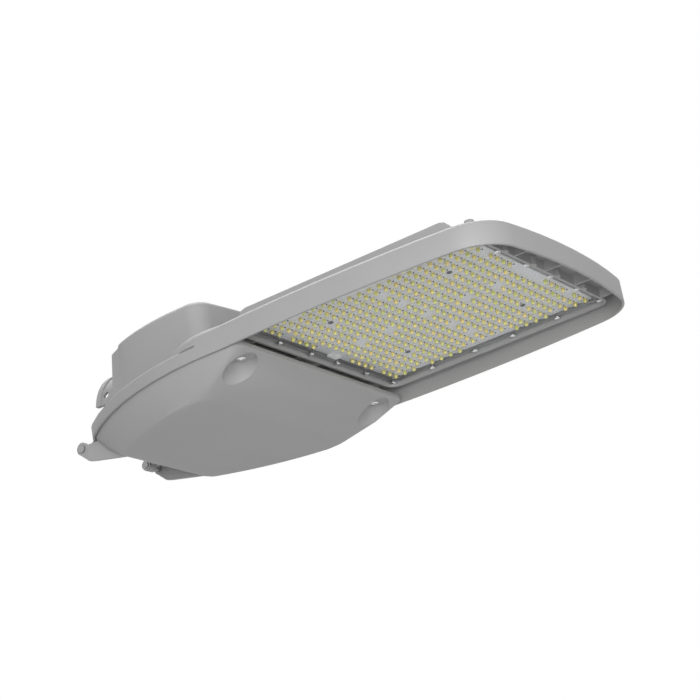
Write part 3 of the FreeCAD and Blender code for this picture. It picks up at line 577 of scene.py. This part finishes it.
def smoothCopy(name, node, body, edge, settings, shaped=None):
    piece = bpy.data.objects.new(name, nodes[node].data.copy())
    scene.collection.objects.link(piece)
    only(piece)
    bpy.ops.mesh.customdata_custom_splitnormals_clear()
    bpy.ops.object.mode_set(mode="EDIT")
    bpy.ops.mesh.select_mode(type="VERT")
    bpy.ops.mesh.select_all(action="SELECT")
    bpy.ops.mesh.remove_doubles(threshold=settings["merge"])
    done()
    if shaped:
        shaped(piece)
    applied(
        piece, "BEVEL",
        width=edge,
        segments=settings["steps"],
        limit_method="ANGLE",
        angle_limit=math.radians(settings["sharp"]),
        use_clamp_overlap=True,
    )
    slot = slotOf[node]
    settle(piece, body, finishes[slot], settings["smooth"])
    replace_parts(piece, node)
    print(name, "has", len(piece.data.polygons), "faces")
    return piece


dome = {"behindX": 5.0 * mm, "besideY": 60.0 * mm, "aboveZ": 18.5 * mm, "forward": 9.0 * mm}
wells = {
    "place": (201.0 * mm, 133.3 * mm),
    "reach": 17.5 * mm,
    "floorZ": -34.0 * mm,
    "floorSlack": 0.05 * mm,
    "lower": 3.5 * mm,
}


def tightenDome(piece):
    # the dome's rear corners stand further forward in the photograph
    def atRearCorner(point):
        x, y, z = point.co
        return x < dome["behindX"] and abs(y) > dome["besideY"] and z > dome["aboveZ"]

    pick(piece, atRearCorner, "VERT")
    bpy.ops.transform.translate(value=(dome["forward"], 0, 0))
    done()


def raiseWellFloors(piece):
    # shallower screw wells, so that the screw heads show from the side
    middleX, middleY = wells["place"]

    def onFloor(point):
        x, y, z = point.co
        away = math.hypot(x - middleX, abs(y) - middleY)
        return away < wells["reach"] and abs(z - wells["floorZ"]) < wells["floorSlack"]

    pick(piece, onFloor, "VERT")
    bpy.ops.transform.translate(value=(0, 0, -wells["lower"]))
    done()


smoothCopy("housingShell", "housing", "housing", shells["edge"], shells, tightenDome)
smoothCopy("doorShell", "door", "door", shells["doorEdge"], shells, raiseWellFloors)
smoothCopy("clampSaddle", "arm_clamp", "housing", shells["edge"], shells)
print("castings have rounded edges")

ledGrid = {
    "middle": (370.0 * mm, 0.0),
    "pitch": 13.2 * mm,
    "cells": 21,
    "edgeGap": 2,
    "edgeScrew": 7,
    "boardScrew": 6,
    "middleGaps": (0, 4, 7),
    "smooth": 60.0,
}


def isEmpty(column, row, settings):
    # cells left free for screws and for the gaps that the photo shows
    near, far = sorted((abs(column), abs(row)))
    edge = settings["cells"] // 2
    atEdge = far == edge and (near <= settings["edgeGap"] or near == settings["edgeScrew"])
    atBoardScrew = near == far == settings["boardScrew"]
    return atEdge or atBoardScrew or (near == 0 and far in settings["middleGaps"])


def fillGrid(piece, settings, shift=0.0):
    # the piece stands at the first cell and is repeated over the board
    for direction in ((settings["pitch"], 0, 0), (0, settings["pitch"], 0)):
        applied(
            piece, "ARRAY",
            count=settings["cells"],
            use_relative_offset=False,
            use_constant_offset=True,
            constant_offset_displace=direction,
        )
    middleX, middleY = settings["middle"]

    def inEmptyCell(point):
        column = round((point.co.x + start.x - middleX - shift) / settings["pitch"])
        row = round((point.co.y + start.y - middleY) / settings["pitch"])
        return isEmpty(column, row, settings)

    start = piece.location.copy()
    pick(piece, inEmptyCell, "VERT")
    bpy.ops.mesh.delete(type="VERT")
    done()
    return piece


def firstCell(settings, z, shift=0.0):
    reach = settings["pitch"] * (settings["cells"] // 2)
    return (settings["middle"][0] - reach + shift, settings["middle"][1] - reach, z)


# one small shape stands in every cell of the grid; steps are inward and downward in mm
cellShapes = {
    "ledChips": {
        "radius": 2.5 * mm,
        "sides": 12,
        "height": 0.8 * mm,
        "baseZ": -15.2 * mm,
        "steps": ((0.6, 0.1), (0.9, 0.1)),
        "slot": "phosphor",
    },
    "phosphorDomes": {
        "radius": 2.5 * mm,
        "sides": 12,
        "height": 0.9 * mm,
        "baseZ": -16.35 * mm,
        "steps": ((0.2, 0.9), (0.6, 1.0), (0.9, 0.5)),
        "slot": "phosphor",
    },
    "opticSkirts": {
        "radius": 4.9 * mm,
        "sides": 12,
        "height": 0.5 * mm,
        "baseZ": -18.2 * mm,
        "steps": ((0.5, 0.4),),
        "slot": "clear_lens",
    },
    # painted shade: a small dark spot at the tip side of every dome, standing for the dark edge of the dome
    "paintedShadeSpots": {
        "radius": 0.85 * mm,
        "sides": 8,
        "height": 0.6 * mm,
        "baseZ": -17.8 * mm,
        "steps": ((0.3, 0.3),),
        "ahead": 4.9 * mm,
        "wide": 1.4,
        "slot": "surge_case",
    },
}


def addCells(name, settings, finish):
    ahead = settings.get("ahead", 0.0)
    middleZ = settings["baseZ"] - settings["height"] / 2
    bpy.ops.mesh.primitive_cylinder_add(
        vertices=settings["sides"], radius=settings["radius"], depth=settings["height"],
        location=firstCell(ledGrid, middleZ, ahead))
    piece = bpy.context.object
    piece.name = name
    pick(piece, isBottom)
    for inward, down in settings["steps"]:
        bpy.ops.mesh.inset(thickness=inward * mm)
        bpy.ops.transform.translate(value=(0, 0, -down * mm))
    bpy.ops.mesh.select_all(action="SELECT")
    bpy.ops.transform.resize(value=(1, settings.get("wide", 1.0), 1))
    done()
    fillGrid(piece, ledGrid, ahead)
    settle(piece, "housing", finish, ledGrid["smooth"])
    print(name, "has", len(piece.data.polygons), "faces")
    return piece


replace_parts(addCells("ledChips", cellShapes["ledChips"], finishes["phosphor"]), "led_packages")
addCells("phosphorDomes", cellShapes["phosphorDomes"], domeFinish(phosphorDome))
addCells("opticSkirts", cellShapes["opticSkirts"], opticFinish)
# dark spots of painted shade at the tip side of the domes
addCells("paintedShadeSpots", cellShapes["paintedShadeSpots"], paintedShadeFinish)
print("LED board filled")

# shares of the head's radius and height
screwHead = {
    "sides": 24,
    "crown": 0.3,
    "crownSteps": (0.8, 0.2),
    "shoulder": 0.28,
    "keyLong": 1.15,
    "keyWide": 0.3,
    "keyDeep": 0.6,
    "keyTurns": (45, 135),
}


def addKey(radius, height, turn, settings):
    # one arm of the cross that is cut into a screw head
    bpy.ops.mesh.primitive_cube_add(size=1, location=(0, 0, -height))
    key = bpy.context.object
    bpy.ops.transform.resize(value=(
        radius * settings["keyLong"], radius * settings["keyWide"], height * 2 * settings["keyDeep"]))
    fixPlace(key)
    bpy.ops.transform.rotate(value=turn, orient_axis="Z", center_override=(0, 0, 0))
    fixPlace(key)
    return key


def makeHead(radius, height, settings):
    # a pan head with a cross recess, its seat at the origin and its crown below
    side = height * (1 - settings["crown"])
    bpy.ops.mesh.primitive_cylinder_add(
        vertices=settings["sides"], radius=radius, depth=side, location=(0, 0, -side / 2))
    head = bpy.context.object
    pick(head, isBottom)
    for share in settings["crownSteps"]:
        bpy.ops.mesh.inset(thickness=radius * settings["shoulder"])
        bpy.ops.transform.translate(value=(0, 0, -height * settings["crown"] * share))
    done()
    fixPlace(head)
    for turn in settings["keyTurns"]:
        key = addKey(radius, height, math.radians(turn), settings)
        applied(head, "BOOLEAN", operation="DIFFERENCE", object=key)
        remove(key)
    return head


screws = {
    "lens": {"radius": 3.4 * mm, "height": 2.0 * mm, "z": -18.3 * mm},
    "board": {"radius": 3.2 * mm, "height": 1.4 * mm, "z": -15.2 * mm},
    "door": {"radius": 5.2 * mm, "height": 2.4 * mm, "z": wells["floorZ"] - wells["lower"]},
    "lensReach": 145.0 * mm,
    "lensCorner": 144.0 * mm,
    "lensRows": (26.4 * mm, 87.12 * mm),
    "boardReach": 79.2 * mm,
    "smooth": 30.0,
}


def addScrews(name, kind, places, node, body, finish):
    size = screws[kind]
    head = makeHead(size["radius"], size["height"], screwHead)
    piece = copyTo(head, [(x, y, size["z"]) for x, y in places])
    piece.name = name
    settle(piece, body, finish, screws["smooth"])
    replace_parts(piece, node)
    print(name, "has", len(piece.data.polygons), "faces")


def around(reach, rows):
    # places on all four sides of a square about the LED board's middle
    middleX, middleY = ledGrid["middle"]
    places = []
    for row in rows:
        for along in (-row, row):
            for side in (-reach, reach):
                places += [(middleX + side, middleY + along), (middleX + along, middleY + side)]
    return places


def corners(reach):
    middleX, middleY = ledGrid["middle"]
    return [(middleX + sx * reach, middleY + sy * reach) for sx in (-1, 1) for sy in (-1, 1)]


doorX, doorY = wells["place"]
lensPlaces = around(screws["lensReach"], screws["lensRows"]) + corners(screws["lensCorner"])
boardPlaces = corners(screws["boardReach"])
addScrews("lensScrews", "lens", lensPlaces, "lens_screws", "housing", finishes["steel"])
# the board screws are made near black, painted shade for their dark holes
addScrews("boardScrews", "board", boardPlaces, "board_screws", "housing", steelFinish(holeShadeSteel))
addScrews("doorScrews", "door", [(doorX, -doorY), (doorX, doorY)], "door_screws", "door", finishes["steel"])
print("screws in place")

boss = {
    "radius": 5.2 * mm,
    "sides": 16,
    "topZ": -18.2 * mm,
    "height": 1.1 * mm,
    "steps": ((0.9, -0.3), (0.3, 0.8)),
}


def addBosses(settings):
    # clear rings moulded on the lens plate round its screws
    bpy.ops.mesh.primitive_cylinder_add(
        vertices=settings["sides"], radius=settings["radius"], depth=settings["height"],
        location=(0, 0, -settings["height"] / 2))
    ring = bpy.context.object
    pick(ring, isBottom)
    for inward, up in settings["steps"]:
        bpy.ops.mesh.inset(thickness=inward * mm)
        bpy.ops.transform.translate(value=(0, 0, up * mm))
    done()
    fixPlace(ring)
    piece = copyTo(ring, [(x, y, settings["topZ"]) for x, y in lensPlaces])
    piece.name = "lensBosses"
    settle(piece, "housing", opticFinish)
    print("lensBosses has", len(piece.data.polygons), "faces")


addBosses(boss)

screen = {
    "middle": (202.4 * mm, 64.5 * mm, -5.8 * mm),
    "size": (21.2 * mm, 116.0 * mm),
    "cells": (9, 50),
    "wire": 1.7 * mm,
}


def addScreens(settings):
    # a woven screen in each vent slot keeps insects out
    x, y, z = settings["middle"]
    halves = []
    for side in (-1, 1):
        bpy.ops.mesh.primitive_grid_add(
            x_subdivisions=settings["cells"][0], y_subdivisions=settings["cells"][1],
            size=1, location=(x, side * y, z))
        half = bpy.context.object
        bpy.ops.transform.resize(value=(settings["size"][0], settings["size"][1], 1))
        fixPlace(half)
        applied(half, "WIREFRAME", thickness=settings["wire"], use_even_offset=False)
        halves.append(half)
    piece = joinAll(halves)
    piece.name = "ventScreens"
    settle(piece, "housing", finishes["seal"])
    print("ventScreens has", len(piece.data.polygons), "faces")


addScreens(screen)

studio = {
    "floorZ": -3.0,
    "floorSize": 400.0,
    "floorLight": grey(0.8),
    "floorDeep": grey(0.78),
    "floorSpeck": 60.0,
    "floorRough": 0.9,
    "floorShare": 0.93,
    "worldStrength": 0.34,
    "middle": (0.24, 0.0, -0.01),
}

# name: place, size, power in watts
lamps = {
    "keyLeft": ((1.7, -2.8, -0.1), 2.0, 70),
    "tipFill": ((2.6, -1.2, -0.9), 1.6, 18),
    "lowFill": ((0.4, -1.2, -2.6), 2.4, 5),
    "topBack": ((-0.6, 0.8, 2.8), 2.0, 42),
}


def seenBy(tree, rays):
    seen = Sig(tree, rays.outputs["Is Camera Ray"])
    for ray in ("Is Glossy Ray", "Is Transmission Ray"):
        seen = seen.joined("MAXIMUM", seen, Sig(tree, rays.outputs[ray]))
    return seen


def floorFinish(settings):
    look = Finish("paleFloor")
    rays = look.add("LightPath")
    light = seenBy(look.tree, rays.socket.node) * settings["floorShare"]
    speck = look.noise(settings["floorSpeck"])
    color = look.mixed(speck, settings["floorDeep"], settings["floorLight"])
    dull = look.shade({"Base Color": color, "Roughness": settings["floorRough"]})
    white = look.shade({"Color": grey(1), "Strength": 1.0}, "Emission")
    return look.finish(look.add("MixShader", None, {0: light, 1: dull, 2: white}))


def addStudio(settings):
    bpy.ops.mesh.primitive_plane_add(size=settings["floorSize"], location=(0, 0, settings["floorZ"]))
    floor = bpy.context.object
    floor.name = "studioFloor"
    floor.data.materials.append(floorFinish(settings))
    for name, (place, size, power) in lamps.items():
        bpy.ops.object.light_add(type="AREA", location=place)
        lamp = bpy.context.object
        lamp.name = name
        lamp.data.size = size
        lamp.data.energy = power
        aim = Vector(settings["middle"]) - Vector(place)
        lamp.rotation_euler = aim.to_track_quat("-Z", "Y").to_euler()
    world = bpy.data.worlds.new("studioAir")
    world.use_nodes = True
    scene.world = world
    tree = world.node_tree
    tree.nodes.clear()
    seen = seenBy(tree, tree.nodes.new("ShaderNodeLightPath"))
    back = tree.nodes.new("ShaderNodeBackground")
    strength = seen * (1 - settings["worldStrength"]) + settings["worldStrength"]
    tree.links.new(strength.socket, back.inputs["Strength"])
    back.inputs["Color"].default_value = grey(1)
    out = tree.nodes.new("ShaderNodeOutputWorld")
    tree.links.new(back.outputs[0], out.inputs["Surface"])


bpy.ops.object.select_all(action="DESELECT")
addCamera(view)
addStudio(studio)
scene.view_settings.view_transform = "Standard"
print("camera, floor and light ready")
